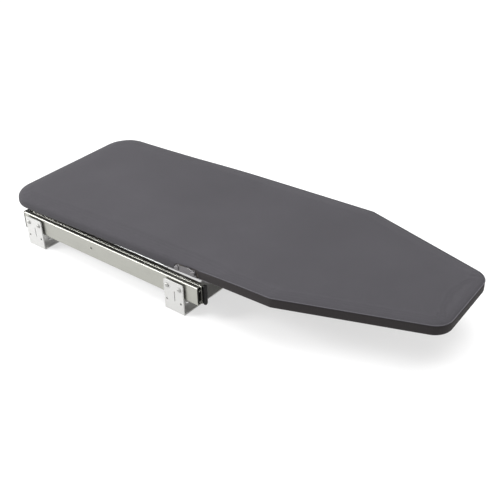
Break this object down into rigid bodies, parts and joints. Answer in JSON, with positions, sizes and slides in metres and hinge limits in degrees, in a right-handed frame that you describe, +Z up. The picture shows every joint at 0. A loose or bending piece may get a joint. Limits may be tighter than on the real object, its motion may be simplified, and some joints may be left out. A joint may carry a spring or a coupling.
{
  "type": "cabinet ironing board",
  "caption": "Padded board that pulls out on telescopic rails, swivels on a ball-race plate and folds in half over double-pivot side hinges, on U-shaped shelf brackets.",
  "frame": {"origin": "middle of the front bracket's underside, on the mid-plane between the rails", "axes": "+X is the pull-out direction towards the board's nose, +Y is left when facing that way, +Z is up"},
  "size_m": [0.809, 0.3246, 0.0916],
  "materials": {
    "coated_steel": "satin white-grey powder coat",
    "rail_steel": "zinc-plated, semi-bright",
    "hinge_steel": "zinc-plated, satin",
    "galvanised": "galvanised, matt",
    "bright_steel": "bright zinc",
    "black_plastic": "matt black moulding",
    "cage": "natural grey",
    "fibreboard": "raw fibreboard",
    "foam": "open-cell foam",
    "cover_cloth": "plain-weave cotton, dark grey"
  },
  "bodies": {
    "base": {"front_bracket": "coated_steel", "rear_bracket": "coated_steel", "outer_rail_near": "rail_steel", "outer_rail_far": "rail_steel", "rail_stop_near": "black_plastic", "rail_stop_far": "black_plastic", "bracket_screw_1": "bright_steel", "bracket_screw_2": "bright_steel", "bracket_screw_3": "bright_steel", "bracket_screw_4": "bright_steel", "bracket_screw_5": "bright_steel", "bracket_screw_6": "bright_steel", "bracket_screw_7": "bright_steel", "bracket_screw_8": "bright_steel"},
    "outer_cages": {"outer_cage_near": "cage", "outer_cage_far": "cage"},
    "middle_rails": {"middle_rail_near": "rail_steel", "middle_rail_far": "rail_steel"},
    "inner_cages": {"inner_cage_near": "cage", "inner_cage_far": "cage"},
    "carriage": {"inner_rail_near": "rail_steel", "inner_rail_far": "rail_steel", "end_cap_near": "black_plastic", "end_cap_far": "black_plastic", "carriage_pan": "galvanised", "carriage_screw_1": "bright_steel", "carriage_screw_2": "bright_steel", "carriage_screw_3": "bright_steel", "carriage_screw_4": "bright_steel", "swivel_lower_plate": "galvanised", "swivel_lower_screw_1": "bright_steel", "swivel_lower_screw_2": "bright_steel", "swivel_lower_screw_3": "bright_steel", "swivel_lower_screw_4": "bright_steel", "pivot_bolt": "bright_steel", "pivot_washer": "galvanised", "pivot_nut": "bright_steel"},
    "swivel_bearing": {"swivel_ball_ring": "cage"},
    "rear_board": {"swivel_upper_plate": "galvanised", "swivel_upper_screw_1": "bright_steel", "swivel_upper_screw_2": "bright_steel", "swivel_upper_screw_3": "bright_steel", "swivel_upper_screw_4": "bright_steel", "swivel_stop_pin": "bright_steel", "rear_panel": "fibreboard", "rear_foam": "foam", "rear_cover": "cover_cloth", "rear_hinge_ear_near": "hinge_steel", "rear_hinge_ear_far": "hinge_steel"},
    "hinge_links": {"hinge_link_near": "hinge_steel", "hinge_link_far": "hinge_steel", "hinge_rivet_1": "bright_steel", "hinge_rivet_2": "bright_steel", "hinge_rivet_3": "bright_steel", "hinge_rivet_4": "bright_steel"},
    "front_board": {"front_panel": "fibreboard", "front_foam": "foam", "front_cover": "cover_cloth", "front_hinge_ear_near": "hinge_steel", "front_hinge_ear_far": "hinge_steel"}
  },
  "joints": [
    {"name": "carriage_slide", "type": "slide", "parent": "base", "child": "carriage", "axis": [1, 0, 0], "range_m": [0, 0.4]},
    {"name": "middle_slide", "type": "slide", "parent": "base", "child": "middle_rails", "axis": [1, 0, 0], "range_m": [0, 0.2]},
    {"name": "outer_cage_roll", "type": "slide", "parent": "base", "child": "outer_cages", "axis": [1, 0, 0], "range_m": [0, 0.1]},
    {"name": "inner_cage_roll", "type": "slide", "parent": "base", "child": "inner_cages", "axis": [1, 0, 0], "range_m": [0, 0.3]},
    {"name": "board_swivel", "type": "hinge", "parent": "carriage", "child": "rear_board", "pos_m": [-0.152, 0, 0.0713], "axis": [0, 0, 1], "range_deg": [-91.83, 88.17]},
    {"name": "bearing_roll", "type": "hinge", "parent": "carriage", "child": "swivel_bearing", "pos_m": [-0.152, 0, 0.0713], "axis": [0, 0, 1], "range_deg": [-46, 44.1]},
    {"name": "fold_lower", "type": "hinge", "parent": "rear_board", "child": "hinge_links", "pos_m": [-0.00328, 0.00475, 0.0778], "axis": [0.0319, -0.9995, 0], "range_deg": [0, 90]},
    {"name": "fold_upper", "type": "hinge", "parent": "hinge_links", "child": "front_board", "pos_m": [0.02771, 0.00574, 0.0778], "axis": [0.0319, -0.9995, 0], "range_deg": [0, 90]}
  ],
  "couplings": [
    {"joint": "middle_slide", "follows": "carriage_slide", "ratio": 0.5},
    {"joint": "outer_cage_roll", "follows": "carriage_slide", "ratio": 0.25},
    {"joint": "inner_cage_roll", "follows": "carriage_slide", "ratio": 0.75},
    {"joint": "bearing_roll", "follows": "board_swivel", "ratio": 0.5},
    {"joint": "fold_upper", "follows": "fold_lower", "ratio": 1}
  ]
}
